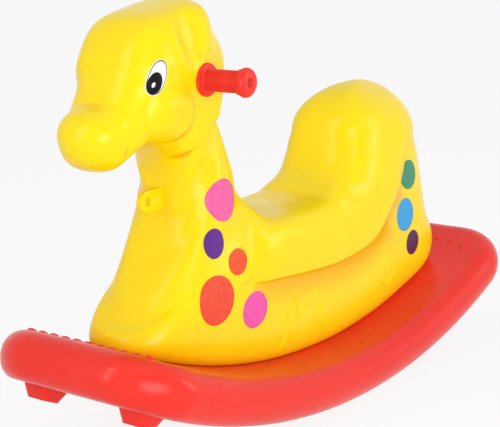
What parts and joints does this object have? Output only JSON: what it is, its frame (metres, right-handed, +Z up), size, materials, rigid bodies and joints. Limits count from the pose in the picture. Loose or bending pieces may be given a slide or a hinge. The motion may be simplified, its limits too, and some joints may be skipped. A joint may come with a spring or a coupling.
{
  "type": "rocking horse",
  "caption": "Plastic ride-on rocking horse: a moulded body with saddle and backrest on a curved rocker board, with a cross handle through the head.",
  "frame": {"origin": "on the floor under the middle of the rocker board, at the lowest line of its running surface", "axes": "+Z up, the horse looks along -X, its left side is -Y, and it rocks about the Y direction"},
  "size_m": [0.8886, 0.284, 0.542],
  "materials": {
    "body_yellow": "gloss",
    "board_red": "gloss",
    "grip_red": "satin",
    "steel": "satin",
    "eye_white": "gloss",
    "spot_rose": "gloss",
    "spot_violet": "gloss",
    "spot_orange": "gloss",
    "spot_red": "gloss",
    "spot_magenta": "gloss",
    "spot_green": "gloss",
    "spot_blue": "gloss",
    "spot_plum": "gloss"
  },
  "bodies": {
    "root": {"body_shell": "body_yellow", "rocker_board": "board_red", "handle_tube": "steel", "grip_left": "grip_red", "grip_right": "grip_red", "cap_left": "grip_red", "cap_right": "grip_red", "cap_screw_left": "steel", "cap_screw_right": "steel", "body_screws": "steel", "body_washers": "steel", "eye_left": "eye_white", "eye_right": "eye_white", "spot_rose_left": "spot_rose", "spot_violet_left": "spot_violet", "spot_orange_left": "spot_orange", "spot_red_left": "spot_red", "spot_magenta_left": "spot_magenta", "spot_green_left": "spot_green", "spot_blue_left": "spot_blue", "spot_plum_left": "spot_plum", "spot_rose_right": "spot_rose", "spot_violet_right": "spot_violet", "spot_orange_right": "spot_orange", "spot_red_right": "spot_red", "spot_magenta_right": "spot_magenta", "spot_green_right": "spot_green", "spot_blue_right": "spot_blue", "spot_plum_right": "spot_plum"}
  },
  "joints": []
}
